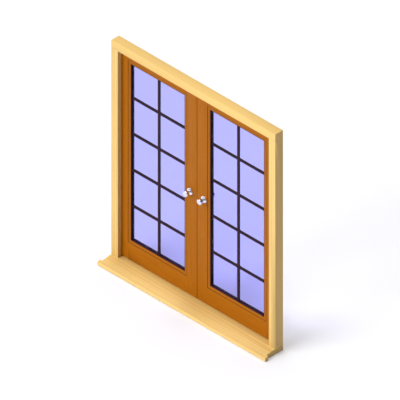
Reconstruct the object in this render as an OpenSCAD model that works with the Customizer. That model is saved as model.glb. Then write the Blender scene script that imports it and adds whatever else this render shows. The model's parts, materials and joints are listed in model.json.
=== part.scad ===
// A pair of timber french doors in their own frame. The leaves open inwards, towards +Y.
// Origin: middle of the sill's underside, below the frame's outer face. +Z is up, millimetres.
// A leaf is drawn from its hinge edge (x = 0) to its meeting edge, outer face at y = 0.

/* [Leaves] */
// Width of one leaf
leaf_w = 838; // [762:1:926]
// Height of one leaf
leaf_h = 1972; // [1800:1:2040]
// Thickness of a leaf
leaf_t = 44; // [42:1:48]
// Flat of the hanging stile, outside the moulding
hang_flat = 78; // [70:1:100]
// Flat of the meeting stile, outside the moulding
meet_flat = 111; // [108:1:125]
// Flat of the top rail, outside the moulding
top_flat = 77; // [65:1:120]
// Flat of the bottom rail, outside the moulding
bottom_flat = 160; // [130:1:220]
// Width of the bevelled moulding round the glass
mould_w = 26; // [20:1:32]
// How far the moulding slopes back from the face
mould_drop = 5; // [2:0.5:6]

/* [Glazing] */
// Thickness of the glass
glass_t = 6; // [4:1:8]
// Width of a glazing bar
bar_w = 25; // [16:1:28]
// How far a glazing bar stands off the glass
bar_t = 4; // [3:0.5:8]
// Rows of panes in one leaf
pane_rows = 5; // [3:1:6]
// Distance between the middles of two cross bars
bar_pitch = 343; // [200:1:350]
// How far the beads stand into the opening
bead_t = 6; // [4:1:8]

/* [Frame] */
// Face width of the jambs and the head
frame_face = 73; // [65:1:90]
// Depth of the jambs and the head
frame_d = 86; // [86:1:90]
// Depth of the rebate that the leaves close into
rebate = 12; // [10:1:15]
// Thickness of the sill at the frame
sill_t = 50; // [45:1:60]
// How far the sill stands out in front of the frame
sill_out = 133; // [100:1:160]
// Fall of the sill's weathered top, in degrees
sill_fall = 7; // [4:0.5:8]
// Width of the nosing strip that carries the horns
horn_d = 34; // [25:1:45]
// How far a horn stands past the frame at each end
horn_l = 21.5; // [10:0.5:50]

/* [Hardware] */
// Height of the knobs above the sill's underside
knob_z = 1041; // [950:1:1100]
// Distance from the knob's axis to the leaf's meeting edge
backset = 75.5; // [72:0.5:80]
// Radius of a rose
rose_r = 30; // [26:1:32]
// Radius of a knob's head
knob_r = 26; // [22:1:28]
// How far a knob stands off the leaf
knob_out = 62; // [55:1:70]
// Length of a hinge
hinge_l = 100; // [75:1:125]
// Travel of the latch bolt
latch_throw = 11; // [8:0.5:12]
// Travel of a flush bolt
flush_throw = 15; // [10:1:18]

/* [Hidden] */
$fn = 48;
side_gap = 3;
meeting_gap = 3;
bottom_gap = 6;
top_gap = 3;

frame_w = 2 * leaf_w + meeting_gap + 2 * side_gap + 2 * (frame_face - rebate);
leaf_z0 = sill_t + bottom_gap;
leaf_z1 = leaf_z0 + leaf_h;
leaf_mid = leaf_t / 2;
leaf_x = -meeting_gap / 2 - leaf_w;
leaf_y = frame_d - leaf_t;
seal_gap = 2;
stop_y = leaf_y - seal_gap;
soffit_z = leaf_z1 + top_gap;
lip_z = soffit_z - rebate;
frame_h = lip_z + frame_face;

// The moulding's outer and inner lines, and the glazing rebate behind it
out_z0 = leaf_z0 + bottom_flat;
out_z1 = leaf_z1 - top_flat;
in_z0 = out_z0 + mould_w;
in_z1 = out_z1 - mould_w;
in_x0 = hang_flat + mould_w;
in_x1 = leaf_w - meet_flat - mould_w;
glaze_rebate = 10;
quirk = [4, 3];
quirk_rise = 0.8;
glass_y = leaf_mid - glass_t / 2;
glass_play = 3;
mitre_gap = 0.1;
tenon_t = 14;
tenon_l = 60;
tenon_haunch = 25;
tenon_shoulder = 12;

// Frame joints
stub_l = 25;
stub = [34, 40];
jamb_back = frame_face - rebate;

// Seals
groove_w = 3;
groove_d = 6;
bulb = [[-4, 0], [-4, 0.6], [-2.5, 1.7], [2.5, 1.7], [4, 0.6], [4, 0]];
brush_y = leaf_mid;
brush_w = 4;
brush_up = 8;
brush_clear = 0.5;
brush_x0 = 5;
brush_x1 = leaf_w - 40;
lip_y = leaf_t - 6;
lip_proud = 1.2;
lip_w = 3;

// Hinges: five knuckles, three on the frame's plate and two on the leaf's
plate_t = 2.5;
plate_w = 30;
barrel_r = 6;
barrel_off = 0.5;
pin_r = 3;
pin_play = 0.06;
pin_cap = 3;
knuckle_gap = 0.3;
pin_x = -side_gap / 2;
pin_y = leaf_t + barrel_off + barrel_r;
hinge_z = [leaf_z0 + 275, (leaf_z0 + leaf_z1) / 2 + 37, leaf_z1 - 200];
plate_screws = [[-22, -36], [-10, -14], [-10, 14], [-22, 36]];

// Countersunk wood screws, all of one size
screw_r = 2;
screw_head_r = 4;
screw_head_h = 2;
screw_l = 28;
plate_screw_l = 12;
rose_screw_l = 15;
screw_play = 0.1;

// Knobs, spindle and latch
axis_x = leaf_w - backset;
rose_h = 8;
neck_r = 11;
neck_play = 0.08;
spindle = 8;
spindle_out = 40;
stile_bore_r = 10.5;
tie_r = 3;
rose_screw_x = 21;
case_t = 14;
case_h = 70;
case_wall = 1.5;
case_x0 = axis_x - 24;
forend = [3, 22, 130];
bolt_t = 10.4;
bolt_h = 14;
bolt_z = knob_z + 16.5;
bolt_gap = 0.2;
hub_r = 9;
hub_play = 0.08;
arm = [6, 20, 4];
arm_slot = 13;
keep = [2, 22, 66];
keep_depth = latch_throw + 3;
keep_play = 0.8;
forend_screw_z = [knob_z - forend[2] / 2 + 9, knob_z + forend[2] / 2 - 9];
keep_screw_z = [bolt_z - keep[2] / 2 + 8, bolt_z + keep[2] / 2 - 8];

// Flush bolts in the meeting edge of the left leaf
flush_x = leaf_w - 20;
flush_r = 4;
flush_play = 0.05;
flush_plate = [2.5, 20, 180];
flush_l = 158;
thumb = [19.3, 7.4, 18];
thumb_at = 128;
flush_screw_z = [
    leaf_z0 + 12, leaf_z0 + flush_plate[2] - 10, leaf_z1 - flush_plate[2] + 10, leaf_z1 - 12
];
frame_keep = [44, 24, 2];
frame_keep_r = 5;
frame_keep_bore = 16;

// Fixing holes through the jambs
fix_r = 4;
fix_y = stop_y + (frame_d - stop_y) / 2;
fix_z = [150, 700, 1400, 1950];

// Sill profile
nose_r = 8;
drip_r = 5;
drip_y = -sill_out + 18;
nose_top = sill_t - sill_out * tan(sill_fall);

timber = "#fcd68a";
oak = "#b86b08";
walnut = "#42200f";
metal = "#d8d6e2";
rubber = "#222222";
clear = [0.75, 0.75, 1, 0.45];

// ---- Shapes that repeat ----

// A box from its low corner to its high corner
module block(low, high) { translate(low) cube(high - low); }

// An outline drawn in X and Z, given a thickness along Y from y = 0
module upright_slab(thick, outline) {
    translate([0, thick, 0]) rotate([90, 0, 0]) linear_extrude(thick) polygon(outline);
}

// A section drawn in Y and Z, run along X
module run_x(x0, x1, section) {
    translate([x0, 0, 0]) rotate([90, 0, 90]) linear_extrude(x1 - x0) polygon(section);
}

// A cylinder along Y
module rod_y(x, y0, y1, z, r) { translate([x, y1, z]) rotate([90, 0, 0]) cylinder(h = y1 - y0, r = r); }

// The left half of the frame as it is drawn, or the right half as its mirror image
module on_side(side) {
    if (side == "left") children();
    if (side == "right") mirror([1, 0, 0]) children();
}

// The same for a leaf, put in its place in the frame
module leaf_side(side) { on_side(side) translate([leaf_x, leaf_y, 0]) children(); }

// Upright for up = 1, or upside down for up = -1
module facing_z(up) {
    if (up > 0) children();
    if (up < 0) mirror([0, 0, 1]) children();
}

// Points of a quarter round about c, from angle a
function quarter(c, r, a) = [for (i = [0:8]) c + r * [cos(a + i * 90 / 8), sin(a + i * 90 / 8)]];

// A screw with its head's flat at z = 0 and its point down; play widens it into its hole
module screw(long = screw_l, play = 0) {
    translate([0, 0, -screw_head_h - play]) {
        cylinder(h = screw_head_h + play, r1 = screw_r + play, r2 = screw_head_r + play);
        if (play > 0) translate([0, 0, screw_head_h + play]) cylinder(h = 1, r = screw_head_r + play);
        translate([0, 0, -long]) cylinder(h = long + 0.01, r = screw_r + play);
    }
}

// ---- Frame ----

function sill_section() = concat(
    [[frame_d, 0], [frame_d, sill_t], [0, sill_t]],
    quarter([nose_r - sill_out, nose_top - nose_r], nose_r, 90),
    quarter([nose_r - sill_out, nose_r], nose_r, 180)
);

module stub_tenon(z) {
    translate([-frame_w / 2 + jamb_back / 2, frame_d / 2, z])
        translate([-stub[0] / 2, -stub[1] / 2, 0]) cube([stub[0], stub[1], stub_l]);
}

// Plate for a flush bolt and its hole, let into the frame above z, or below it with up = -1
module frame_keep_cut(z, up) {
    translate([leaf_x + flush_x, leaf_y + leaf_mid, z]) facing_z(up) {
        translate([-frame_keep[0] / 2, -frame_keep[1] / 2, 0]) cube(frame_keep);
        cylinder(h = frame_keep[2] + frame_keep_bore, r = frame_keep_r);
    }
}

module sill() {
    color(timber) difference() {
        union() {
            intersection() {
                run_x(-frame_w / 2, frame_w / 2, sill_section());
                block([-frame_w, horn_d - sill_out, -1], [frame_w, frame_d + 1, sill_t + 1]);
            }
            intersection() {
                run_x(-frame_w / 2 - horn_l, frame_w / 2 + horn_l, sill_section());
                block([-frame_w, -sill_out - 1, -1], [frame_w, horn_d - sill_out, sill_t + 1]);
            }
        }
        translate([-frame_w, drip_y, 0]) rotate([0, 90, 0]) cylinder(h = 2 * frame_w, r = drip_r);
        for (side = ["left", "right"]) on_side(side) stub_tenon(sill_t - stub_l);
        frame_keep_cut(sill_t, -1);
    }
}

module jamb(side) {
    x0 = -frame_w / 2;
    groove_x = x0 + frame_face - rebate / 2;
    color(timber) on_side(side) difference() {
        union() {
            translate([0, 0, sill_t]) linear_extrude(soffit_z - sill_t) polygon([
                [x0, 0], [x0 + frame_face, 0], [x0 + frame_face, stop_y],
                [x0 + jamb_back, stop_y], [x0 + jamb_back, frame_d], [x0, frame_d]
            ]);
            stub_tenon(sill_t - stub_l);
            stub_tenon(soffit_z);
        }
        block([x0 - 1, -1, lip_z], [x0 + frame_face + 1, stop_y, soffit_z + stub_l + 1]);
        block([groove_x - groove_w / 2, stop_y - groove_d, 0],
              [groove_x + groove_w / 2, stop_y + 1, frame_h]);
        for (z = hinge_z) block([x0 + jamb_back - plate_t, frame_d - plate_w, z - hinge_l / 2],
                                [x0 + jamb_back + 1, frame_d + 1, z + hinge_l / 2]);
        for (z = fix_z) translate([x0 - 1, fix_y, z])
            rotate([0, 90, 0]) cylinder(h = frame_face, r = fix_r);
    }
}

module head() {
    groove_z = soffit_z - rebate / 2;
    color(timber) difference() {
        run_x(-frame_w / 2, frame_w / 2, [
            [0, lip_z], [stop_y, lip_z], [stop_y, soffit_z],
            [frame_d, soffit_z], [frame_d, frame_h], [0, frame_h]
        ]);
        block([-frame_w / 2 + jamb_back, stop_y - groove_d, groove_z - groove_w / 2],
              [frame_w / 2 - jamb_back, stop_y + 1, groove_z + groove_w / 2]);
        for (side = ["left", "right"]) on_side(side) intersection() {
            stub_tenon(soffit_z);
            block([-frame_w, stop_y, 0], [0, frame_d, frame_h]);
        }
        frame_keep_cut(soffit_z, 1);
    }
}

// Rubber bulb seal pushed into the groove of the stop: two jamb lengths and one head length
module frame_seal() {
    groove_x = -frame_w / 2 + frame_face - rebate / 2;
    groove_z = soffit_z - rebate / 2;
    stem = [[-groove_w / 2, -groove_d], [groove_w / 2, -groove_d], [groove_w / 2, 0], [-groove_w / 2, 0]];
    color(rubber) {
        for (side = ["left", "right"]) on_side(side)
            translate([groove_x, stop_y, sill_t]) linear_extrude(lip_z - sill_t) {
                polygon(stem);
                polygon(bulb);
            }
        for (part = [stem, bulb])
            run_x(groove_x - rebate / 2, -groove_x + rebate / 2,
                  [for (p = part) [stop_y + p[1], groove_z + p[0]]]);
    }
}

// ---- Hinges ----

function knuckle_h() = hinge_l / 5;

// Knuckles numbered from the bottom, each with its web to the plate
module knuckles(numbers, web_x, play) {
    difference() {
        for (n = numbers) translate([0, 0, -hinge_l / 2 + n * knuckle_h() + knuckle_gap / 2]) {
            h = knuckle_h() - knuckle_gap;
            translate([pin_x, pin_y, 0]) cylinder(h = h, r = barrel_r);
            block([web_x, leaf_t - 1, 0], [web_x + plate_t, pin_y, h]);
        }
        translate([pin_x, pin_y, -hinge_l]) cylinder(h = 2 * hinge_l, r = pin_r + play);
    }
}

// A hinge plate, with a screw head's countersink on the side that faces the other plate
module plate(x0, facing, numbers, play) {
    difference() {
        union() {
            block([x0, leaf_t - plate_w, -hinge_l / 2], [x0 + plate_t, leaf_t, hinge_l / 2]);
            knuckles(numbers, x0, play);
        }
        at_plate_screws(x0, facing) screw(play = screw_play);
    }
}

module at_plate_screws(x0, facing) {
    for (s = plate_screws)
        translate([facing > 0 ? x0 + plate_t : x0, leaf_t + s[0], s[1]])
            rotate([0, 90 * facing, 0]) children();
}

module frame_hinge_plates(side) {
    color(metal) leaf_side(side) for (z = hinge_z) translate([0, 0, z])
        plate(-side_gap - plate_t, 1, [0, 2, 4], 0);
}

module leaf_hinge_plates(side) {
    color(metal) leaf_side(side) for (z = hinge_z) translate([0, 0, z])
        plate(0, -1, [1, 3], pin_play);
}

module hinge_pins(side) {
    color(metal) leaf_side(side) for (z = hinge_z) translate([pin_x, pin_y, z]) {
        translate([0, 0, -hinge_l / 2]) cylinder(h = hinge_l, r = pin_r);
        for (up = [-1, 1]) facing_z(up) translate([0, 0, hinge_l / 2])
            cylinder(h = pin_cap, r1 = barrel_r - 1, r2 = pin_r);
    }
}

// ---- Screws ----

module frame_screws() {
    color(metal) {
        for (side = ["left", "right"]) leaf_side(side)
            for (z = hinge_z) translate([0, 0, z]) at_plate_screws(-side_gap - plate_t, 1) screw();
        at_frame_keep_screws(soffit_z, 1) screw(plate_screw_l);
        at_frame_keep_screws(sill_t, -1) screw(plate_screw_l);
    }
}

module at_frame_keep_screws(z, up) {
    for (dx = [-15, 15])
        translate([leaf_x + flush_x + dx, leaf_y + leaf_mid, z]) facing_z(-up) children();
}

module leaf_screws(side) {
    color(metal) leaf_side(side) {
        for (z = hinge_z) translate([0, 0, z]) at_plate_screws(0, -1) screw();
        at_rose_screws() screw(rose_screw_l);
        if (side == "left") at_edge_screws(concat(keep_screw_z, flush_screw_z)) screw(plate_screw_l);
        if (side == "right") at_edge_screws(forend_screw_z) screw(plate_screw_l);
    }
}

module at_edge_screws(heights) {
    for (z = heights) translate([leaf_w, leaf_mid, z]) rotate([0, 90, 0]) children();
}

module at_rose_screws() {
    for (dx = [-rose_screw_x, rose_screw_x]) {
        translate([axis_x, -rose_face(rose_screw_x), knob_z]) rotate([90, 0, 0])
            translate([0, dx, 0]) children();
        translate([axis_x, leaf_t + rose_face(rose_screw_x), knob_z]) rotate([-90, 0, 0])
            translate([0, dx, 0]) children();
    }
}

// ---- Leaf timber ----

// Section of a stile or rail: its flat, the moulding's quirk and bevel, and the rebate for the glass
function stuck(flat_w) = [
    [0, 0], [flat_w, 0], [flat_w + quirk[0] / 3, quirk[1]], [flat_w + quirk[0], quirk_rise],
    [flat_w + mould_w, mould_drop], [flat_w + mould_w, glass_y],
    [flat_w + mould_w - glaze_rebate, glass_y], [flat_w + mould_w - glaze_rebate, leaf_t], [0, leaf_t]
];

module tenon(x0, x1, z0, z1) { block([x0, leaf_mid - tenon_t / 2, z0], [x1, leaf_mid + tenon_t / 2, z1]); }

// Tenons of both rails, at the hanging stile or at the meeting stile
module tenons(x0, x1) {
    tenon(x0, x1, out_z1 + tenon_shoulder, leaf_z1 - tenon_haunch);
    tenon(x0, x1, leaf_z0 + tenon_haunch, out_z0 - tenon_shoulder);
}

module hanging_stile(side) {
    color(oak) leaf_side(side) difference() {
        intersection() {
            translate([0, 0, leaf_z0]) linear_extrude(leaf_h) polygon(stuck(hang_flat));
            upright_slab(leaf_t, [
                [0, leaf_z0], [hang_flat, leaf_z0], [hang_flat, out_z0], [in_x0, in_z0],
                [in_x0, in_z1], [hang_flat, out_z1], [hang_flat, leaf_z1], [0, leaf_z1]
            ]);
        }
        tenons(hang_flat - tenon_l, hang_flat + 1);
        for (z = hinge_z) block([-1, leaf_t - plate_w, z - hinge_l / 2],
                                [plate_t, leaf_t + 1, z + hinge_l / 2]);
        brush_groove();
    }
}

module meeting_stile(side) {
    shoulder = leaf_w - meet_flat;
    color(oak) leaf_side(side) difference() {
        intersection() {
            translate([leaf_w, 0, leaf_z0]) mirror([1, 0, 0])
                linear_extrude(leaf_h) polygon(stuck(meet_flat));
            upright_slab(leaf_t, [
                [leaf_w, leaf_z0], [shoulder, leaf_z0], [shoulder, out_z0], [in_x1, in_z0],
                [in_x1, in_z1], [shoulder, out_z1], [shoulder, leaf_z1], [leaf_w, leaf_z1]
            ]);
        }
        tenons(shoulder - 1, shoulder + tenon_l);
        brush_groove();
        if (side == "left") left_edge_cuts();
        if (side == "right") right_edge_cuts();
    }
}

// Housings in the left leaf's meeting stile: tie bolt, latch keep, flush bolts and lip seal
module left_edge_cuts() {
    rod_y(axis_x, -1, leaf_t + 1, knob_z, tie_r);
    block([leaf_w - keep[0], leaf_mid - keep[1] / 2, bolt_z - keep[2] / 2],
          [leaf_w + 1, leaf_mid + keep[1] / 2, bolt_z + keep[2] / 2]);
    keep_mouth(leaf_w - keep_depth, leaf_w);
    block([leaf_w - groove_d, lip_y - lip_w / 2, leaf_z0 - 1],
          [leaf_w + 1, lip_y + lip_w / 2, leaf_z1 + 1]);
    flush_bolt_at("top") flush_bolt_cut();
    flush_bolt_at("bottom") flush_bolt_cut();
}

module keep_mouth(x0, x1) {
    block([x0, leaf_mid - bolt_t / 2 - keep_play, bolt_z - bolt_h / 2 - keep_play],
          [x1 + 1, leaf_mid + bolt_t / 2 + keep_play, bolt_z + bolt_h / 2 + keep_play]);
}

// Housings in the right leaf's meeting stile: latch case, forend and spindle
module right_edge_cuts() {
    rod_y(axis_x, -1, leaf_t + 1, knob_z, stile_bore_r);
    block([case_x0, leaf_mid - case_t / 2, knob_z - case_h / 2],
          [leaf_w + 1, leaf_mid + case_t / 2, knob_z + case_h / 2]);
    block([leaf_w - forend[0], leaf_mid - forend[1] / 2, knob_z - forend[2] / 2],
          [leaf_w + 1, leaf_mid + forend[1] / 2, knob_z + forend[2] / 2]);
}

module brush_groove() {
    block([brush_x0, brush_y - brush_w / 2, leaf_z0 - 1],
          [brush_x1, brush_y + brush_w / 2, leaf_z0 + brush_up]);
}

module rail(side, section, outline, z0, z1) {
    color(oak) leaf_side(side) difference() {
        union() {
            intersection() {
                run_x(0, leaf_w, section);
                upright_slab(leaf_t, outline);
            }
            tenon(hang_flat - tenon_l, hang_flat + 0.01, z0, z1);
            tenon(leaf_w - meet_flat - 0.01, leaf_w - meet_flat + tenon_l, z0, z1);
        }
        brush_groove();
    }
}

module top_rail(side) {
    rail(side, [for (p = stuck(top_flat)) [p[1], leaf_z1 - p[0]]],
         [[hang_flat, leaf_z1], [hang_flat, out_z1], [in_x0, in_z1],
          [in_x1, in_z1], [leaf_w - meet_flat, out_z1], [leaf_w - meet_flat, leaf_z1]],
         out_z1 + tenon_shoulder, leaf_z1 - tenon_haunch);
}

module bottom_rail(side) {
    rail(side, [for (p = stuck(bottom_flat)) [p[1], leaf_z0 + p[0]]],
         [[hang_flat, leaf_z0], [hang_flat, out_z0], [in_x0, in_z0],
          [in_x1, in_z0], [leaf_w - meet_flat, out_z0], [leaf_w - meet_flat, leaf_z0]],
         leaf_z0 + tenon_haunch, out_z0 - tenon_shoulder);
}

// ---- Glazing ----

module glass(side) {
    inset = glaze_rebate - glass_play;
    color(clear) leaf_side(side)
        block([in_x0 - inset, glass_y, in_z0 - inset], [in_x1 + inset, glass_y + glass_t, in_z1 + inset]);
}

// Four mitred beads round an opening that stands grow outside the moulding's inner line
module beads(side, grow, y0, y1) {
    wide = bead_t + grow;
    x0 = in_x0 - grow;
    x1 = in_x1 + grow;
    z0 = in_z0 - grow;
    z1 = in_z1 + grow;
    color(walnut) leaf_side(side) translate([0, y0, 0]) {
        for (end = [[z0, wide], [z1, -wide]]) upright_slab(y1 - y0, [
            [x0 + mitre_gap, end[0]], [x1 - mitre_gap, end[0]],
            [x1 - wide - mitre_gap, end[0] + end[1]], [x0 + wide + mitre_gap, end[0] + end[1]]
        ]);
        for (end = [[x0, wide], [x1, -wide]]) upright_slab(y1 - y0, [
            [end[0], z0 + mitre_gap], [end[0], z1 - mitre_gap],
            [end[0] + end[1], z1 - wide - mitre_gap], [end[0] + end[1], z0 + wide + mitre_gap]
        ]);
    }
}

module outer_beads(side) { beads(side, 0, mould_drop + 1, glass_y); }

module inner_beads(side) { beads(side, glaze_rebate, glass_y + glass_t, leaf_t); }

bar_x = (in_x0 + in_x1) / 2;
function bar_z() = [for (i = [1:pane_rows - 1]) (in_z0 + in_z1) / 2 + (i - pane_rows / 2) * bar_pitch];

module upright_bar(side, y0) {
    color(walnut) leaf_side(side)
        block([bar_x - bar_w / 2, y0, in_z0 + bead_t], [bar_x + bar_w / 2, y0 + bar_t, in_z1 - bead_t]);
}

module cross_bars(side, y0) {
    color(walnut) leaf_side(side) for (z = bar_z()) {
        block([in_x0 + bead_t, y0, z - bar_w / 2], [bar_x - bar_w / 2, y0 + bar_t, z + bar_w / 2]);
        block([bar_x + bar_w / 2, y0, z - bar_w / 2], [in_x1 - bead_t, y0 + bar_t, z + bar_w / 2]);
    }
}

// ---- Leaf seals ----

module bottom_brush(side) {
    color(rubber) leaf_side(side)
        block([brush_x0, brush_y - brush_w / 2, sill_t + brush_clear],
              [brush_x1, brush_y + brush_w / 2, leaf_z0 + brush_up]);
}

module meeting_seal() {
    color(rubber) leaf_side("left")
        block([leaf_w - groove_d, lip_y - lip_w / 2, leaf_z0],
              [leaf_w + lip_proud, lip_y + lip_w / 2, leaf_z1]);
}

// ---- Knobs and roses ----

// How far a rose's domed face stands off the leaf at radius r
function rose_face(r) = rose_h - 3 * pow(r / rose_r, 2);

function rose_profile() = concat(
    [[neck_r + neck_play, 0], [rose_r, 0]],
    [for (i = [0:8]) let (r = rose_r - (rose_r - neck_r - neck_play) * i / 8) [r, rose_face(r)]]
);

// Neck, flare, rim and shallow dome of a knob, from the leaf's face outwards
function knob_profile() = concat(
    [[0, 1], [neck_r, 1], [neck_r, 22]],
    [for (a = [15:15:90]) [neck_r + (knob_r - neck_r) * (1 - cos(a)), 22 + 14 * sin(a)]],
    [for (a = [0:15:90]) [knob_r - 5 + 5 * cos(a), knob_out - 9 + 5 * sin(a)]],
    [for (t = [0.75, 0.5, 0.25, 0]) [(knob_r - 5) * t, knob_out - 4 * t * t]]
);

// Turns a profile about the knob's axis, standing off the outer or the inner face
module turned(face, profile) {
    if (face == "outer") translate([axis_x, 0, knob_z])
        rotate([90, 0, 0]) rotate_extrude() polygon(profile);
    if (face == "inner") translate([axis_x, leaf_t, knob_z])
        rotate([-90, 0, 0]) rotate_extrude() polygon(profile);
}

module rose(side, face) {
    color(metal) leaf_side(side) difference() {
        turned(face, rose_profile());
        at_rose_screws() screw(play = screw_play);
    }
}

module knob(side, face) {
    color(metal) leaf_side(side) difference() {
        turned(face, knob_profile());
        if (side == "right") spindle_bar(0.05);
        if (side == "left") tie_rod();
    }
}

module spindle_bar(play) {
    half = spindle / 2 + play;
    block([axis_x - half, -spindle_out - play, knob_z - half],
          [axis_x + half, leaf_t + spindle_out + play, knob_z + half]);
}

module tie_rod() { rod_y(axis_x, -spindle_out, leaf_t + spindle_out, knob_z, tie_r); }

module right_spindle() { color(metal) leaf_side("right") spindle_bar(0); }

module left_tie_bolt() { color(metal) leaf_side("left") tie_rod(); }

// ---- Latch in the right leaf ----

module latch_case() {
    low = [case_x0, leaf_mid - case_t / 2, knob_z - case_h / 2];
    high = [leaf_w - forend[0], leaf_mid + case_t / 2, knob_z + case_h / 2];
    wall = [case_wall, case_wall, case_wall];
    color(metal) leaf_side("right") difference() {
        block(low, high);
        block(low + wall, [high[0] + 1, high[1] - case_wall, high[2] - case_wall]);
        rod_y(axis_x, low[1] - 1, high[1] + 1, knob_z, hub_r + hub_play);
    }
}

module latch_forend() {
    color(metal) leaf_side("right") difference() {
        block([leaf_w - forend[0], leaf_mid - forend[1] / 2, knob_z - forend[2] / 2],
              [leaf_w, leaf_mid + forend[1] / 2, knob_z + forend[2] / 2]);
        block([leaf_w - forend[0] - 1, leaf_mid - bolt_t / 2 - bolt_gap, bolt_z - bolt_h / 2 - bolt_gap],
              [leaf_w + 1, leaf_mid + bolt_t / 2 + bolt_gap, bolt_z + bolt_h / 2 + bolt_gap]);
        at_edge_screws(forend_screw_z) screw(play = screw_play);
    }
}

// Square-holed hub that the spindle turns, with the arm that drives the bolt
module latch_follower() {
    color(metal) leaf_side("right") difference() {
        union() {
            rod_y(axis_x, leaf_mid - case_t / 2, leaf_mid + case_t / 2, knob_z, hub_r);
            block([axis_x - arm[0] / 2, leaf_mid - arm[2] / 2, knob_z],
                  [axis_x + arm[0] / 2, leaf_mid + arm[2] / 2, knob_z + arm[1]]);
        }
        spindle_bar(0.05);
    }
}

module latch_bolt() {
    z0 = bolt_z - bolt_h / 2;
    color(metal) leaf_side("right") difference() {
        block([axis_x - 14, leaf_mid - bolt_t / 2, z0],
              [leaf_w - bolt_gap, leaf_mid + bolt_t / 2, z0 + bolt_h]);
        block([axis_x - arm_slot / 2, leaf_mid - arm[2] / 2 - 0.5, z0 - 1],
              [axis_x + arm_slot / 2, leaf_mid + arm[2] / 2 + 0.5, z0 + bolt_h - 2]);
    }
}

module latch_keep() {
    color(metal) leaf_side("left") difference() {
        block([leaf_w - keep[0], leaf_mid - keep[1] / 2, bolt_z - keep[2] / 2],
              [leaf_w, leaf_mid + keep[1] / 2, bolt_z + keep[2] / 2]);
        keep_mouth(leaf_w - keep[0] - 1, leaf_w);
        at_edge_screws(keep_screw_z) screw(play = screw_play);
    }
}

// ---- Flush bolts in the left leaf ----

// Draws a flush bolt's pieces with their own z = 0 at the leaf's end and z going into the leaf
module flush_bolt_at(place) {
    if (place == "bottom") translate([0, 0, leaf_z0]) children();
    if (place == "top") translate([0, 0, leaf_z1]) mirror([0, 0, 1]) children();
}

module thumb_way(x1) {
    block([flush_x - flush_r - 1, leaf_mid - thumb[1] / 2 - 0.3, thumb_at - flush_throw - 1],
          [x1, leaf_mid + thumb[1] / 2 + 0.3, thumb_at + thumb[2] + 1]);
}

module flush_bolt_cut() {
    translate([flush_x, leaf_mid, -1]) cylinder(h = flush_l + 3, r = flush_r + flush_play);
    block([leaf_w - flush_plate[0], leaf_mid - flush_plate[1] / 2, -1],
          [leaf_w + 1, leaf_mid + flush_plate[1] / 2, flush_plate[2]]);
    thumb_way(leaf_w);
}

module flush_plate_at(place) {
    color(metal) leaf_side("left") difference() {
        flush_bolt_at(place) difference() {
            block([leaf_w - flush_plate[0], leaf_mid - flush_plate[1] / 2, 0],
                  [leaf_w, leaf_mid + flush_plate[1] / 2, flush_plate[2]]);
            thumb_way(leaf_w + 1);
        }
        at_edge_screws(flush_screw_z) screw(play = screw_play);
    }
}

module flush_bolt(place) {
    color(metal) leaf_side("left") flush_bolt_at(place) {
        translate([flush_x, leaf_mid, 0.5]) cylinder(h = flush_l, r = flush_r);
        block([flush_x, leaf_mid - thumb[1] / 2, thumb_at],
              [flush_x + thumb[0], leaf_mid + thumb[1] / 2, thumb_at + thumb[2]]);
    }
}

module frame_keep_plate(z, up) {
    color(metal) difference() {
        translate([leaf_x + flush_x, leaf_y + leaf_mid, z]) facing_z(up) difference() {
            translate([-frame_keep[0] / 2, -frame_keep[1] / 2, 0]) cube(frame_keep);
            translate([0, 0, -1]) cylinder(h = frame_keep[2] + 2, r = frame_keep_r);
        }
        at_frame_keep_screws(z, up) screw(play = screw_play);
    }
}

// ---- Every piece by name ----

sill();
jamb("left");  // left_jamb
jamb("right");  // right_jamb
head();
frame_seal();
frame_hinge_plates("left");  // left_frame_hinge_plates
frame_hinge_plates("right");  // right_frame_hinge_plates
hinge_pins("left");  // left_hinge_pins
hinge_pins("right");  // right_hinge_pins
frame_screws();
frame_keep_plate(soffit_z, 1);  // head_bolt_keep
frame_keep_plate(sill_t, -1);  // sill_bolt_keep
hanging_stile("left");  // left_hanging_stile
meeting_stile("left");  // left_meeting_stile
top_rail("left");  // left_top_rail
bottom_rail("left");  // left_bottom_rail
glass("left");  // left_glass
outer_beads("left");  // left_outer_beads
inner_beads("left");  // left_inner_beads
upright_bar("left", glass_y - bar_t);  // left_outer_upright_bar
upright_bar("left", glass_y + glass_t);  // left_inner_upright_bar
cross_bars("left", glass_y - bar_t);  // left_outer_cross_bars
cross_bars("left", glass_y + glass_t);  // left_inner_cross_bars
bottom_brush("left");  // left_bottom_brush
meeting_seal();
leaf_hinge_plates("left");  // left_leaf_hinge_plates
leaf_screws("left");  // left_screws
rose("left", "outer");  // left_outer_rose
rose("left", "inner");  // left_inner_rose
knob("left", "outer");  // left_outer_knob
knob("left", "inner");  // left_inner_knob
left_tie_bolt();
latch_keep();
flush_plate_at("top");  // top_bolt_plate
flush_plate_at("bottom");  // bottom_bolt_plate
flush_bolt("top");  // top_flush_bolt
flush_bolt("bottom");  // bottom_flush_bolt
hanging_stile("right");  // right_hanging_stile
meeting_stile("right");  // right_meeting_stile
top_rail("right");  // right_top_rail
bottom_rail("right");  // right_bottom_rail
glass("right");  // right_glass
outer_beads("right");  // right_outer_beads
inner_beads("right");  // right_inner_beads
upright_bar("right", glass_y - bar_t);  // right_outer_upright_bar
upright_bar("right", glass_y + glass_t);  // right_inner_upright_bar
cross_bars("right", glass_y - bar_t);  // right_outer_cross_bars
cross_bars("right", glass_y + glass_t);  // right_inner_cross_bars
bottom_brush("right");  // right_bottom_brush
leaf_hinge_plates("right");  // right_leaf_hinge_plates
leaf_screws("right");  // right_screws
rose("right", "outer");  // right_outer_rose
rose("right", "inner");  // right_inner_rose
latch_case();
latch_forend();
knob("right", "outer");  // right_outer_knob
knob("right", "inner");  // right_inner_knob
right_spindle();
latch_follower();
latch_bolt();
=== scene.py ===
import json
import math
import random

import bmesh
import bpy
from mathutils import Matrix, Vector

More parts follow.
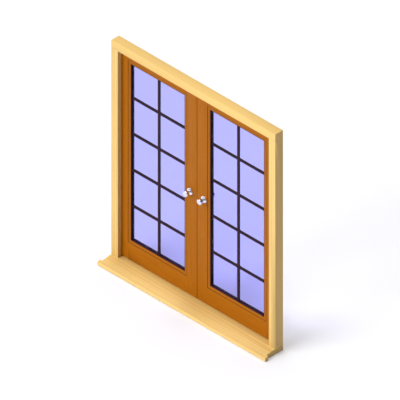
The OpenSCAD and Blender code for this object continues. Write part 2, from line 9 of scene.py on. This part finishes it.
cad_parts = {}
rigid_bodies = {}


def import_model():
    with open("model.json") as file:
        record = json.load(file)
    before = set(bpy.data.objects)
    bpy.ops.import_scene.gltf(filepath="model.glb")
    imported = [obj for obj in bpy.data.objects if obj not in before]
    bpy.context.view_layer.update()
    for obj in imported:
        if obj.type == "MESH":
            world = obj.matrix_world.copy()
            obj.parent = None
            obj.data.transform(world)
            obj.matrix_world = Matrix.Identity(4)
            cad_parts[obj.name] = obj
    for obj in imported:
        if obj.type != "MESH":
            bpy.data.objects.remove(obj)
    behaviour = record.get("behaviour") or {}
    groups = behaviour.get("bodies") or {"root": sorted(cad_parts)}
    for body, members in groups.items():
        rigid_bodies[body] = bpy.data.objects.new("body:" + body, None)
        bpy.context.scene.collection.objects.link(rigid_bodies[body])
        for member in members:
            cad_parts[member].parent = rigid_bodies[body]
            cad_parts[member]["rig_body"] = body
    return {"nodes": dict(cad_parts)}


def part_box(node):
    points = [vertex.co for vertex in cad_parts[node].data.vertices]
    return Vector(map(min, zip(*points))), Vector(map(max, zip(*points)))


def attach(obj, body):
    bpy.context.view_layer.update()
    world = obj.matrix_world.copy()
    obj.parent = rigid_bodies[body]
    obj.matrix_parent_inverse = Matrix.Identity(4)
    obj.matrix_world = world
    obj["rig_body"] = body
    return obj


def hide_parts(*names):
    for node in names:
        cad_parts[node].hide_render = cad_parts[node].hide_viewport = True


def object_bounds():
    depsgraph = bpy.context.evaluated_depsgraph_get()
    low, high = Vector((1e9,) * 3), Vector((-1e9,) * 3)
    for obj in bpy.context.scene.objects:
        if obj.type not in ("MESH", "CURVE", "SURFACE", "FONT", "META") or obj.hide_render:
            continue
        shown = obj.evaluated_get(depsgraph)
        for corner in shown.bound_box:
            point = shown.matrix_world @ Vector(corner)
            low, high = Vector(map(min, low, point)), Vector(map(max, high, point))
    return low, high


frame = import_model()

cad_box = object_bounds()

# ---- Sill, jambs and head ----
# Four lengths of planed pine, tenoned together. The long arrises are taken off with a plane before
# the frame is put together, so they stop short of the joints, and the timber is then oiled clear.

FRAME_ARRIS = 0.002
LEAST_SHOULDER = 0.007  # faces narrower than this keep their edges sharp
LEAST_ARRIS_RUN = 0.04
RING_MM = 5.5
GRAIN_STRETCH = 0.045


def linear(hex_code):
    """An sRGB hex colour as the linear colour that a shader takes."""
    parts = [int(hex_code[i:i + 2], 16) / 255 for i in (1, 3, 5)]
    return [p / 12.92 if p <= 0.04045 else ((p + 0.055) / 1.055) ** 2.4 for p in parts] + [1]


def add(tree, kind, sockets, stops=(), **settings):
    """Adds a node. Each socket gets a value or a link, and a ramp's stops are (place, colour)."""
    made = tree.nodes.new("ShaderNode" + kind)
    for name, value in settings.items():
        setattr(made, name, value)
    for number, (position, colour) in enumerate(stops):
        ramp = made.color_ramp.elements
        stop = ramp[number] if number < len(ramp) else ramp.new(1)
        stop.position, stop.color = position, colour
    for name, value in sockets.items():
        if isinstance(value, bpy.types.NodeSocket):
            tree.links.new(value, made.inputs[name])
        else:
            made.inputs[name].default_value = value
    return made


def surface(name, **sockets):
    """A new material, its node tree, and its Principled shader with these sockets set."""
    made = bpy.data.materials.new(name)
    made.use_nodes = True
    shader = made.node_tree.nodes["Principled BSDF"]
    for socket, value in sockets.items():
        shader.inputs[socket.replace("_", " ")].default_value = value
    return made, made.node_tree, shader


def feed(tree, shader, **outputs):
    """Links outputs of a material's nodes to the sockets of its shader."""
    for socket, output in outputs.items():
        tree.links.new(output, shader.inputs[socket.replace("_", " ")])


def oiled_pine(name, along, pith):
    """Pine cut along X or Z from a log whose centre line passes through pith, under a clear oil."""
    # Flat-sawn pine: pale early wood and amber late wood in rings that open into long arches on the
    # face and show as arcs on the end grain. Oil leaves it satin, a little glossier on late wood.
    made, tree, shader = surface(name, IOR=1.47, Specular_IOR_Level=0.35)
    place = add(tree, "TexCoord", {}).outputs["Object"]
    stretch = {"X": (GRAIN_STRETCH, 1, 1), "Z": (1, 1, GRAIN_STRETCH)}[along]
    shift = [-c * s for c, s in zip(pith, stretch)]
    log = add(tree, "Mapping", {"Vector": place, "Location": shift, "Scale": stretch}).outputs[0]
    # A ring wave repeats every 0.314 of a unit, so this scale sets the rings apart by RING_MM.
    rings = add(tree, "TexWave", {"Vector": log, "Scale": 314 / RING_MM, "Distortion": 5,
                                  "Detail": 2.5, "Detail Scale": 0.16, "Detail Roughness": 0.55},
                wave_type="RINGS", rings_direction=along, wave_profile="SAW").outputs["Fac"]
    # Fibres are drawn 1.2 mm wide, coarser than real ones, so that they show.
    fibres = add(tree, "TexNoise", {"Vector": log, "Scale": 830, "Detail": 3}).outputs["Fac"]
    # Sapwood and heartwood change tone over bands about 60 mm wide.
    bands = add(tree, "TexNoise", {"Vector": log, "Scale": 16, "Detail": 2}).outputs["Fac"]
    colour = add(tree, "ValToRGB", {"Fac": rings},
                 [(0.0, linear("#d8b770")), (0.5, linear("#d7b56e")),
                  (0.86, linear("#cda35c")), (1.0, linear("#d2ac64"))]).outputs["Color"]
    tone = add(tree, "MapRange", {"Value": bands, "From Min": 0.3, "From Max": 0.7,
                                  "To Min": 0.93, "To Max": 1.06}).outputs[0]
    streak = add(tree, "MapRange", {"Value": fibres, "From Min": 0.3, "From Max": 0.7,
                                    "To Min": 0.95, "To Max": 1.04}).outputs[0]
    both = add(tree, "Math", {0: tone, 1: streak}, operation="MULTIPLY").outputs[0]
    colour = add(tree, "HueSaturation", {"Color": colour, "Value": both}).outputs["Color"]
    gloss = add(tree, "MapRange", {"Value": rings, "To Min": 0.56, "To Max": 0.44}).outputs[0]
    relief = add(tree, "Bump", {"Height": fibres, "Strength": 0.25, "Distance": 0.0004}).outputs[0]
    relief = add(tree, "Bump", {"Height": rings, "Normal": relief, "Strength": 0.15,
                                "Distance": 0.0004}).outputs[0]
    feed(tree, shader, Base_Color=colour, Roughness=gloss, Normal=relief)
    return made


def merged(node_name, flat=0.5):
    """A CAD node's triangles as one closed shape, with those within flat degrees made one face."""
    shape = bmesh.new()
    shape.from_mesh(frame["nodes"][node_name].data)
    bmesh.ops.remove_doubles(shape, verts=shape.verts, dist=2e-6)
    bmesh.ops.dissolve_limit(shape, verts=shape.verts, edges=shape.edges,
                             angle_limit=math.radians(flat))
    return shape


def narrowest(edge):
    """Width of the narrower of the two faces beside an edge."""
    return min(f.calc_area() / max(e.calc_length() for e in f.edges) for f in edge.link_faces)


def piece(name, shape, finish):
    """Makes an object in the scene from a bmesh, in this finish."""
    made = bpy.data.objects.new(name, bpy.data.meshes.new(name))
    shape.to_mesh(made.data)
    shape.free()
    made.data.materials.append(finish)
    bpy.context.scene.collection.objects.link(made)
    return made


def stand_in(made, node_name):
    """The piece moves with a CAD node's body and stands for the node, which is hidden."""
    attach(made, frame["nodes"][node_name]["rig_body"])
    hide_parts(node_name)
    return made


def eased(node_name, finish, arris, chosen, segments=3, crisp=30, flat=0.5):
    """Stands in for a CAD node with its chosen sharp edges rounded to the radius arris."""
    shape = merged(node_name, flat)
    weight = shape.edges.layers.float.new("bevel_weight_edge")
    for face in shape.faces:
        face.smooth = True
    for edge in shape.edges:
        sharp = len(edge.link_faces) == 2 and edge.calc_face_angle() > math.radians(crisp)
        ease = sharp and edge.is_convex and chosen(edge)
        edge[weight] = float(ease)
        edge.smooth = ease or not sharp
    made = piece(node_name + "_finished", shape, finish)
    rounding = made.modifiers.new("arrises", "BEVEL")
    rounding.limit_method = "WEIGHT"
    rounding.width, rounding.segments, rounding.profile = arris, segments, 0.5
    rounding.use_clamp_overlap, rounding.harden_normals = True, True
    return stand_in(made, node_name)


def runs(edge, axis):
    """Whether an edge lies along axis 0, 1 or 2."""
    way = edge.verts[1].co - edge.verts[0].co
    return abs(way[axis]) > 0.999 * way.length


def long_arris(axis):
    """Picks the long edges along one axis, clear of faces too narrow to be eased."""
    return lambda e: (runs(e, axis) and e.calc_length() > LEAST_ARRIS_RUN
                      and narrowest(e) > LEAST_SHOULDER)


for side, x in (("left", -1), ("right", 1)):
    pith = (x * 0.83, 0.12, 0)
    eased(side + "_jamb", oiled_pine(f"oiled pine {side} jamb", "Z", pith),
          FRAME_ARRIS, long_arris(2))
eased("head", oiled_pine("oiled pine head", "X", (0, 0.15, 2.0)),
      FRAME_ARRIS, long_arris(0))
eased("sill", oiled_pine("oiled pine sill", "X", (0, -0.02, -0.09)),
      FRAME_ARRIS, long_arris(0))

# ---- Seal of the frame ----
# An extruded rubber bulb on a stem, pressed into the groove of the stop all round.
# The leaves close against it.


def extruded_rubber(name):
    """Black rubber as it comes from the die."""
    # Matt and nearly black, with a faint bloom that greys it in patches about 8 mm across.
    made, tree, shader = surface(name, IOR=1.52, Specular_IOR_Level=0.4)
    place = add(tree, "TexCoord", {}).outputs["Object"]
    bloom = add(tree, "TexNoise", {"Vector": place, "Scale": 120, "Detail": 4}).outputs["Fac"]
    colour = add(tree, "ValToRGB", {"Fac": bloom},
                 [(0.3, linear("#151516")), (0.75, linear("#2b2b2d"))]).outputs["Color"]
    gloss = add(tree, "MapRange", {"Value": bloom, "To Min": 0.5, "To Max": 0.8}).outputs[0]
    relief = add(tree, "Bump", {"Height": bloom, "Strength": 0.2, "Distance": 0.0002}).outputs[0]
    feed(tree, shader, Base_Color=colour, Roughness=gloss, Normal=relief)
    return made


BULB_ARRIS = 0.0006

rubber = extruded_rubber("extruded rubber")
eased("frame_seal", rubber, BULB_ARRIS,
      lambda e: e.calc_length() > 0.1 and narrowest(e) > 0.001, segments=2, crisp=20)

# ---- Hinges ----
# Butt hinges of stainless steel, three to a leaf: pressed plates let in flush, knuckles rolled
# round a pin with pointed finials, and the whole brushed along its length.

METAL_ARRIS = 0.0004
LEAST_METAL_FACE = 0.0012


def brushed_steel(name, along):
    """Stainless steel brushed along X or Z."""
    # Grey-white metal with fine lines one way, which stretch its highlights across them.
    # The lines are drawn 0.5 mm apart, coarser than real ones, so that they show.
    made, tree, shader = surface(name, Metallic=1.0)
    place = add(tree, "TexCoord", {}).outputs["Object"]
    stretch = {"X": (0.02, 1, 1), "Z": (1, 1, 0.02)}[along]
    lines = add(tree, "Mapping", {"Vector": place, "Scale": stretch}).outputs[0]
    brushing = add(tree, "TexNoise", {"Vector": lines, "Scale": 2000, "Detail": 2}).outputs["Fac"]
    colour = add(tree, "ValToRGB", {"Fac": brushing},
                 [(0.3, linear("#b2b1b4")), (0.7, linear("#cccbd0"))]).outputs["Color"]
    gloss = add(tree, "MapRange", {"Value": brushing, "To Min": 0.24, "To Max": 0.42}).outputs[0]
    relief = add(tree, "Bump", {"Height": brushing, "Strength": 0.1, "Distance": 0.0001}).outputs[0]
    feed(tree, shader, Base_Color=colour, Roughness=gloss, Normal=relief)
    return made


steel = brushed_steel("brushed stainless steel", "Z")
for side in ("left", "right"):
    for group in ("frame_hinge_plates", "leaf_hinge_plates", "hinge_pins"):
        eased(f"{side}_{group}", steel, METAL_ARRIS,
              lambda e: e.calc_length() > METAL_ARRIS and narrowest(e) > LEAST_METAL_FACE,
              segments=2)

# ---- Stiles and rails of the leaves ----
# Hardwood members, mortised and tenoned, each worked with a quirk and a bevel towards the glass.
# The leaf is sanded flush over its joints, so only its outer edges are eased; then it is stained
# orange-brown and varnished.

LEAF_ARRIS = 0.0022
QUIRK_SLOPE = (0.2, 0.9)  # of the faces in the quirk, which lean between the flat and the edge


def stained_hardwood(name, along, cut, pale, dark, pore, coat):
    """Hardwood cut along X or Z, stained and varnished; cut is where in the log it comes from."""
    # Interlocked grain: soft ribbons of lighter and darker stain along the member, with short dark
    # pores. The varnish lies over it as a clear coat that evens the gloss but keeps the ribbons.
    made, tree, shader = surface(name, IOR=1.5, Specular_IOR_Level=0.06, Coat_Weight=coat,
                                 Coat_Roughness=0.2)
    place = add(tree, "TexCoord", {}).outputs["Object"]
    stretch = {"X": (0.035, 1, 1), "Z": (1, 1, 0.035)}[along]
    log = add(tree, "Mapping", {"Vector": place, "Location": cut, "Scale": stretch}).outputs[0]
    # Ribbons are about 14 mm wide and the figure inside them 3 mm.
    ribbons = add(tree, "TexNoise", {"Vector": log, "Scale": 70, "Detail": 5, "Roughness": 0.6,
                                     "Distortion": 0.4}).outputs["Fac"]
    # Pores are drawn 0.7 mm wide, about twice their real width, so that they show.
    pores = add(tree, "TexNoise", {"Vector": log, "Scale": 1400, "Detail": 1}).outputs["Fac"]
    stain = add(tree, "ValToRGB", {"Fac": ribbons},
                [(0.3, linear(dark)), (0.5, linear(pale)), (0.72, linear(dark))]).outputs["Color"]
    open_pore = add(tree, "ValToRGB", {"Fac": pores},
                    [(0.6, (0, 0, 0, 1)), (0.72, (1, 1, 1, 1))]).outputs["Color"]
    colour = add(tree, "MixRGB", {"Fac": open_pore, "Color1": stain,
                                  "Color2": linear(pore)}).outputs["Color"]
    gloss = add(tree, "MapRange", {"Value": ribbons, "To Min": 0.38, "To Max": 0.55}).outputs[0]
    relief = add(tree, "Bump", {"Height": open_pore, "Strength": 0.3, "Distance": 0.0003},
                 invert=True).outputs[0]
    feed(tree, shader, Base_Color=colour, Roughness=gloss, Normal=relief)
    return made


ON_LEVEL = 0.0001
LEAST_OUTLINE_RUN = 0.02


def outline_of(names):
    """Picks the edges that run along the edges of the box round these nodes."""
    boxes = [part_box(n) for n in names]
    low = [min(b[0][i] for b in boxes) for i in range(3)]
    high = [max(b[1][i] for b in boxes) for i in range(3)]

    def chosen(edge):
        sides = 0
        for i in range(3):
            for level in (low[i], high[i]):
                sides += all(abs(v.co[i] - level) < ON_LEVEL for v in edge.verts)
        return sides >= 2 and edge.calc_length() > LEAST_OUTLINE_RUN

    return chosen


# The faces of the quirk get a darker stain, a painted shade that deepens the shadow line of the
# groove.
painted_shade = {along: stained_hardwood(f"pooled stain along {along}", along, (0.3, 1.1, 0.7),
                                  "#4b2906", "#3a1f04", "#241304", 0.04) for along in "XZ"}
for side, seed in (("left", 0), ("right", 5)):
    members = {"hanging_stile": "Z", "meeting_stile": "Z", "top_rail": "X", "bottom_rail": "X"}
    on_outline = outline_of([f"{side}_{m}" for m in members])
    for number, (member, along) in enumerate(members.items()):
        log_place = (0.37 * (seed + number), 0.11 * number, 0.53 * (seed + number))
        wood = stained_hardwood(f"varnished hardwood {side} {member}", along, log_place,
                                "#9c5a05", "#8f5104", "#603505", 0.04)
        made = eased(f"{side}_{member}", wood, LEAF_ARRIS, on_outline)
        made.data.materials.append(painted_shade[along])
        # Faces in the quirk take the darker painted-shade material.
        for face in made.data.polygons:
            face.material_index = int(QUIRK_SLOPE[0] < abs(face.normal.y) < QUIRK_SLOPE[1])

# ---- Glass ----
# One pane of tinted float glass to a leaf, 6 mm thick, behind the bars.


def tinted_float_glass(name):
    """Clear glass with a lavender-blue body tint."""
    # Fire-polished, so it reflects sharply; rollers leave a faint wave about 150 mm long.
    made, tree, shader = surface(name, IOR=1.5, Transmission_Weight=1.0, Roughness=0.02,
                                 Base_Color=linear("#b2b2ff"))
    place = add(tree, "TexCoord", {}).outputs["Object"]
    wave = add(tree, "TexNoise", {"Vector": place, "Scale": 7, "Detail": 1}).outputs["Fac"]
    relief = add(tree, "Bump", {"Height": wave, "Strength": 0.1, "Distance": 0.0005}).outputs[0]
    feed(tree, shader, Normal=relief)
    return made


float_glass = tinted_float_glass("tinted float glass")
for side in ("left", "right"):
    pane = frame["nodes"][side + "_glass"]
    pane.data.materials.clear()
    pane.data.materials.append(float_glass)
    pane.visible_shadow = False

# ---- Glazing beads and bars ----
# Beads are mitred round each face of the pane and pinned; the bars are flat strips planted on both
# faces. Both are the same hardwood under a dark stain, with their outer edges rounded over.

BEAD_ARRIS = 0.0012
BAR_ARRIS = 0.0016

dark_across = stained_hardwood("dark stained bead across", "X", (3.1, 0.2, 0.9),
                               "#2c1626", "#1f0f1b", "#11080f", 0.06)
dark_upright = stained_hardwood("dark stained bead upright", "Z", (1.7, 0.6, 2.9),
                                "#2c1626", "#1f0f1b", "#11080f", 0.06)


def away_from_glass(side, reach):
    """Picks the long edges of beads or bars on the face turned away from the pane."""
    low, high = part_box(side + "_glass")
    middle = (low.y + high.y) / 2
    return lambda e: all(abs(v.co.y - middle) > reach for v in e.verts) and e.calc_length() > 0.03


for side in ("left", "right"):
    for face in ("outer", "inner"):
        beads = eased(f"{side}_{face}_beads", dark_upright, BEAD_ARRIS,
                      away_from_glass(side, 0.01))
        # Past the mitres the top and bottom beads have their grain across.
        beads.data.materials.append(dark_across)
        low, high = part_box(f"{side}_{face}_beads")
        for part in beads.data.polygons:
            x, _, z = part.center
            part.material_index = int(min(z - low.z, high.z - z) < min(x - low.x, high.x - x))
        eased(f"{side}_{face}_upright_bar", dark_upright, BAR_ARRIS,
              away_from_glass(side, 0.006))
        eased(f"{side}_{face}_cross_bars", dark_across, BAR_ARRIS,
              away_from_glass(side, 0.006))

# ---- Brush strips ----
# Nylon pile on a stiff nylon back, which is pushed into the groove under each leaf. The pile fills
# the gap over the sill.

TUFT_PITCH = 0.0022
TUFT_R = 0.0007
ROW_OFF = 0.0009  # of each of the two rows from the middle of the strip
ROOT = 0.001  # length of a tuft inside the back
LEAN = 5  # most degrees that a tuft leans
BACK_ARRIS = 0.0003


def nylon_pile(name):
    """Black nylon filament."""
    # Slightly glossy dark threads, some of them greyed with dust, in patches about 5 mm wide.
    made, tree, shader = surface(name, IOR=1.53, Roughness=0.45)
    place = add(tree, "TexCoord", {}).outputs["Object"]
    dust = add(tree, "TexNoise", {"Vector": place, "Scale": 200, "Detail": 2}).outputs["Fac"]
    colour = add(tree, "ValToRGB", {"Fac": dust},
                 [(0.35, linear("#19191b")), (0.7, linear("#3a3a3c"))]).outputs["Color"]
    feed(tree, shader, Base_Color=colour)
    return made


nylon = nylon_pile("black nylon pile")
for side in ("left", "right"):
    low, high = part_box(side + "_bottom_brush")
    leaf_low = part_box(side + "_bottom_rail")[0].z
    strip = bmesh.new()
    size = Vector((high.x - low.x, high.y - low.y, high.z - leaf_low))
    centre = Vector(((low.x + high.x) / 2, (low.y + high.y) / 2, (high.z + leaf_low) / 2))
    bmesh.ops.create_cube(strip, matrix=Matrix.Translation(centre) @ Matrix.Diagonal((*size, 1)))
    bmesh.ops.bevel(strip, geom=strip.edges[:], offset=BACK_ARRIS, offset_type="OFFSET",
                    segments=1, profile=0.5, affect="EDGES", material=-1)
    spread = random.Random(side)
    tall = leaf_low + ROOT - low.z
    for n in range(int((high.x - low.x) / TUFT_PITCH)):
        for row in (-1, 1):
            lean = Matrix.Rotation(math.radians(spread.uniform(-LEAN, LEAN)), 4, "Y")
            at = Vector((low.x + (n + 0.5) * TUFT_PITCH, centre.y + row * ROW_OFF,
                         low.z + tall / 2))
            bmesh.ops.create_cone(strip, segments=5, radius1=TUFT_R, radius2=TUFT_R * 0.7,
                                  depth=tall * 0.97, cap_ends=True,
                                  matrix=Matrix.Translation(at) @ lean)
    stand_in(piece(side + "_brush_strip", strip, nylon), side + "_bottom_brush")

# ---- Seal between the leaves ----
# A soft rubber fin pressed into the left leaf's meeting edge, with its tip rounded.

FIN_ARRIS = 0.0009

eased("meeting_seal", rubber, FIN_ARRIS, lambda e: runs(e, 2))

# ---- Roses and knobs ----
# Round knobs turned from brass and chromium plated, on domed roses screwed to the stiles. The right
# pair turns on a square spindle, and the left pair is fixed through the stile by a tie bolt.

KNOB_STEPS = 64
ROSE_ARRIS = 0.0008


def chromium_plate(name):
    """Bright chromium over polished brass."""
    # A near mirror, faintly blue, with wiping marks that dull it in patches about 10 mm wide.
    made, tree, shader = surface(name, Metallic=1.0)
    place = add(tree, "TexCoord", {}).outputs["Object"]
    wiped = add(tree, "TexNoise", {"Vector": place, "Scale": 90, "Detail": 5}).outputs["Fac"]
    colour = add(tree, "ValToRGB", {"Fac": wiped},
                 [(0.3, linear("#dcdbe4")), (0.7, linear("#ecebf4"))]).outputs["Color"]
    gloss = add(tree, "MapRange", {"Value": wiped, "To Min": 0.05, "To Max": 0.2}).outputs[0]
    relief = add(tree, "Bump", {"Height": wiped, "Strength": 0.04, "Distance": 0.0002}).outputs[0]
    feed(tree, shader, Base_Color=colour, Roughness=gloss, Normal=relief)
    return made


def arc(centre_r, centre_h, radius, start, end, count):
    """Points of a turned curve round a centre, between two angles in degrees."""
    angles = [math.radians(start + (end - start) * i / count) for i in range(count + 1)]
    return [(centre_r + radius * math.cos(a), centre_h + radius * math.sin(a)) for a in angles]


# Neck with a collar over the rose, flare, rim, and a shallow dome inside a turned line, as
# (distance from the axis, height off the leaf) in millimetres
FLARE = [(11 + 15 * (1 - math.cos(math.radians(a))), 22 + 14 * math.sin(math.radians(a)))
         for a in range(10, 91, 10)]
DOME = [(21 * t, 62 - 4 * t * t) for t in (0.86, 0.7, 0.5, 0.25, 0)]
KNOB = ([(0, 1), (11, 1), (11, 9)] + arc(11, 11, 2, -90, 90, 6) + [(11, 22)] + FLARE
        + arc(21, 53, 5, 0, 90, 8)[:-1] + [(21, 58), (20.2, 57.6), (19.4, 58.7)] + DOME)

chrome = chromium_plate("chromium plate")
for side in ("left", "right"):
    for face, way in (("outer", 1), ("inner", -1)):
        knob, rose = f"{side}_{face}_knob", f"{side}_{face}_rose"
        low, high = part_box(rose)
        axis_x, knob_z = (low.x + high.x) / 2, (low.z + high.z) / 2
        rose_r = (high.x - low.x) / 2
        eased(rose, chrome, ROSE_ARRIS,
              lambda e: all(math.hypot(v.co.x - axis_x, v.co.z - knob_z) > 0.98 * rose_r
                            for v in e.verts), flat=0.02)
        leaf_face = high.y if face == "outer" else low.y
        turned = bmesh.new()
        points = [turned.verts.new((r / 1000, 0, h / 1000)) for r, h in KNOB]
        lines = [turned.edges.new(pair) for pair in zip(points, points[1:])]
        bmesh.ops.spin(turned, geom=points + lines, cent=(0, 0, 0), axis=(0, 0, 1),
                       angle=2 * math.pi, steps=KNOB_STEPS, use_merge=True, use_duplicate=False)
        bmesh.ops.remove_doubles(turned, verts=turned.verts, dist=1e-6)
        bmesh.ops.recalc_face_normals(turned, faces=turned.faces)
        bmesh.ops.rotate(turned, verts=turned.verts,
                         matrix=Matrix.Rotation(math.radians(90 * way), 3, "X"))
        bmesh.ops.translate(turned, verts=turned.verts, vec=(axis_x, leaf_face, knob_z))
        for f in turned.faces:
            f.smooth = True
        for e in turned.edges:
            e.smooth = e.calc_face_angle(0) < math.radians(35)
        stand_in(piece(knob + "_turned", turned, chrome), knob)

# ---- Screws ----
# Countersunk steel wood screws with a cross recess, one size of head in three lengths.
# Each stands exactly where the CAD screw does.

HEAD_R, HEAD_H, SHANK_R = 0.004, 0.002, 0.002
POINT_H = 0.004
RECESS_R, RECESS_DEEP = 0.0022, 0.0014
RECESS_ARM = 0.0005  # half the width of an arm of the cross


def cross_screw(length):
    """A screw with its head's flat at z = 0 and its point down."""
    screw = bmesh.new()
    bmesh.ops.create_circle(screw, cap_ends=True, segments=24, radius=HEAD_R)
    # Cuts along the sides of the cross, then across the ends of its arms
    for axis in (Vector((1, 0, 0)), Vector((0, 1, 0))):
        for side in (-1, 1):
            bmesh.ops.bisect_plane(screw, geom=screw.verts[:] + screw.edges[:] + screw.faces[:],
                                   plane_co=axis * side * RECESS_ARM, plane_no=axis)
    arms = [f for f in screw.faces
            if min(abs(c) for c in f.calc_center_median()[:2]) < RECESS_ARM]
    for arm in arms:
        way = arm.calc_center_median()
        if way.length > RECESS_ARM:
            bmesh.ops.bisect_plane(screw, geom=[arm, *arm.edges, *arm.verts],
                                   plane_co=way.normalized() * RECESS_R, plane_no=way)
    rim = [e for e in screw.edges if e.is_boundary]
    cross = [f for f in screw.faces if max(v.co.length for v in f.verts) < RECESS_R + RECESS_ARM
             and min(abs(c) for c in f.calc_center_median()[:2]) < RECESS_ARM / 2]
    deep = bmesh.ops.extrude_face_region(screw, geom=cross)
    floor = [g for g in deep["geom"] if isinstance(g, bmesh.types.BMVert)]
    bmesh.ops.delete(screw, geom=cross, context="FACES")
    bmesh.ops.scale(screw, verts=floor, vec=(0.55, 0.55, 1))
    bmesh.ops.translate(screw, verts=floor, vec=(0, 0, -RECESS_DEEP))
    loop = rim
    for radius, drop in ((SHANK_R, HEAD_H), (SHANK_R, length - POINT_H),
                         (SHANK_R * 0.1, POINT_H)):
        down = bmesh.ops.extrude_edge_only(screw, edges=loop)["geom"]
        verts = [g for g in down if isinstance(g, bmesh.types.BMVert)]
        loop = [g for g in down if isinstance(g, bmesh.types.BMEdge)]
        old = math.hypot(*verts[0].co[:2])
        bmesh.ops.scale(screw, verts=verts, vec=(radius / old, radius / old, 1))
        bmesh.ops.translate(screw, verts=verts, vec=(0, 0, -drop))
    bmesh.ops.holes_fill(screw, edges=loop)
    bmesh.ops.recalc_face_normals(screw, faces=screw.faces)
    return screw


def solids_of(node_name):
    """Yields the places of the vertices of each separate solid of a CAD node."""
    shape, seen = merged(node_name), set()
    for start in shape.verts:
        if start in seen:
            continue
        places, waiting = [], [start]
        seen.add(start)
        while waiting:
            v = waiting.pop()
            places.append(v.co.copy())
            for other in (e.other_vert(v) for e in v.link_edges):
                if other not in seen:
                    seen.add(other)
                    waiting.append(other)
        yield places
    shape.free()


bright_steel = brushed_steel("bright zinc plated steel", "X")
for node_name in ("frame_screws", "left_screws", "right_screws"):
    screws = bmesh.new()
    for places in solids_of(node_name):
        low = Vector(min(p[i] for p in places) for i in range(3))
        high = Vector(max(p[i] for p in places) for i in range(3))
        axis = max(range(3), key=lambda i: (high - low)[i])
        middle = (low + high) / 2
        length = (high - low)[axis]
        # The end where the outline is widest is the head.
        widest = max(places, key=lambda p: ((p - middle).length_squared
                                            - (p[axis] - middle[axis]) ** 2))
        up = 1 if widest[axis] > middle[axis] else -1
        head_at = middle.copy()
        head_at[axis] = high[axis] if up > 0 else low[axis]
        way = Vector([up * float(i == axis) for i in range(3)])
        one = cross_screw(length - HEAD_H)
        turn = way.to_track_quat("Z", "Y").to_matrix().to_4x4()
        one.transform(Matrix.Translation(head_at) @ turn)
        made = bpy.data.meshes.new("screw")
        one.to_mesh(made)
        one.free()
        screws.from_mesh(made)
        bpy.data.meshes.remove(made)
    stand_in(piece(node_name.replace("screws", "cross_screws"), screws, bright_steel),
             node_name)

# ---- Latch, keeps and flush bolts ----
# Pressed and milled steel, zinc plated, let into the meeting edges and the frame. Their edges are
# broken by tumbling.

for node_name in ("latch_case", "latch_forend", "latch_bolt", "latch_keep", "top_bolt_plate",
                  "bottom_bolt_plate", "head_bolt_keep", "sill_bolt_keep", "right_spindle",
                  "latch_follower", "left_tie_bolt"):
    eased(node_name, steel, METAL_ARRIS,
          lambda e: narrowest(e) > LEAST_METAL_FACE, segments=2)
# The edges that run from the thumb piece to its rod are left as milled.
for node_name in ("top_flush_bolt", "bottom_flush_bolt"):
    eased(node_name, steel, METAL_ARRIS,
          lambda e: narrowest(e) > LEAST_METAL_FACE and not runs(e, 0), segments=2)

# ---- Floor, light and camera ----
# A plain pale floor that runs out of sight, a broad soft light from the front left, another from
# overhead, and a grey studio round them.

FLOOR_HALF = 40
FLOOR_GAP = 0.0005

floor_shape = bmesh.new()
bmesh.ops.create_grid(floor_shape, x_segments=1, y_segments=1, size=FLOOR_HALF,
                      matrix=Matrix.Translation((0, 0, cad_box[0].z - FLOOR_GAP)))
floor_finish, floor_tree, floor_shader = surface("pale studio floor", Roughness=0.9,
                                                 Specular_IOR_Level=0.1)
floor_shader.inputs["Base Color"].default_value = linear("#e6e6e8")
floor = piece("studio_floor", floor_shape, floor_finish)

for name, toward, power, angle in (("front_light", (-0.28, -0.85, 0.4), 3.3, 45),
                                   ("top_light", (-0.15, 0.1, 1), 2.65, 50)):
    lamp = bpy.data.lights.new(name, "SUN")
    lamp.energy, lamp.angle = power, math.radians(angle)
    lit = bpy.data.objects.new(name, lamp)
    lit.rotation_mode = "QUATERNION"
    lit.rotation_quaternion = Vector(toward).to_track_quat("Z", "Y")
    bpy.context.scene.collection.objects.link(lit)

studio = bpy.data.worlds.new("studio")
studio.use_nodes = True
sky = studio.node_tree
direction = add(sky, "SeparateXYZ", {0: add(sky, "TexCoord", {}).outputs["Generated"]}).outputs
glow = add(sky, "ValToRGB", {"Fac": direction["Z"]},
           [(0.0, linear("#b4b4b8")), (0.12, linear("#acacb2")),
            (0.4, linear("#56565c"))]).outputs["Color"]
# The wall on the right is draped, so the faces turned to it are in half shade.
drape = add(sky, "MapRange", {"Value": direction["X"], "From Min": 0.0, "From Max": 0.5,
                              "To Min": 1.0, "To Max": 0.15}).outputs[0]
sky.links.new(glow, sky.nodes["Background"].inputs["Color"])
sky.links.new(drape, sky.nodes["Background"].inputs["Strength"])
bpy.context.scene.world = studio
bpy.context.scene.view_settings.view_transform = "Standard"

# The camera looks down along an isometric axis.
VIEW_SIZE = 3.115
CAMERA_OFF = 12
CAMERA_ROUND, CAMERA_UP = math.radians(45), math.asin(math.tan(math.radians(30)))
looked_at = Vector((0.0743, 0, 1.054))
camera = bpy.data.objects.new("camera", bpy.data.cameras.new("camera"))
camera.data.type, camera.data.ortho_scale = "ORTHO", VIEW_SIZE
back = Vector((math.sin(CAMERA_ROUND) * math.cos(CAMERA_UP),
               -math.cos(CAMERA_ROUND) * math.cos(CAMERA_UP), math.sin(CAMERA_UP)))
camera.location = looked_at + back * CAMERA_OFF
camera.rotation_mode = "QUATERNION"
camera.rotation_quaternion = (-back).to_track_quat("-Z", "Y")
bpy.context.scene.collection.objects.link(camera)
bpy.context.scene.camera = camera
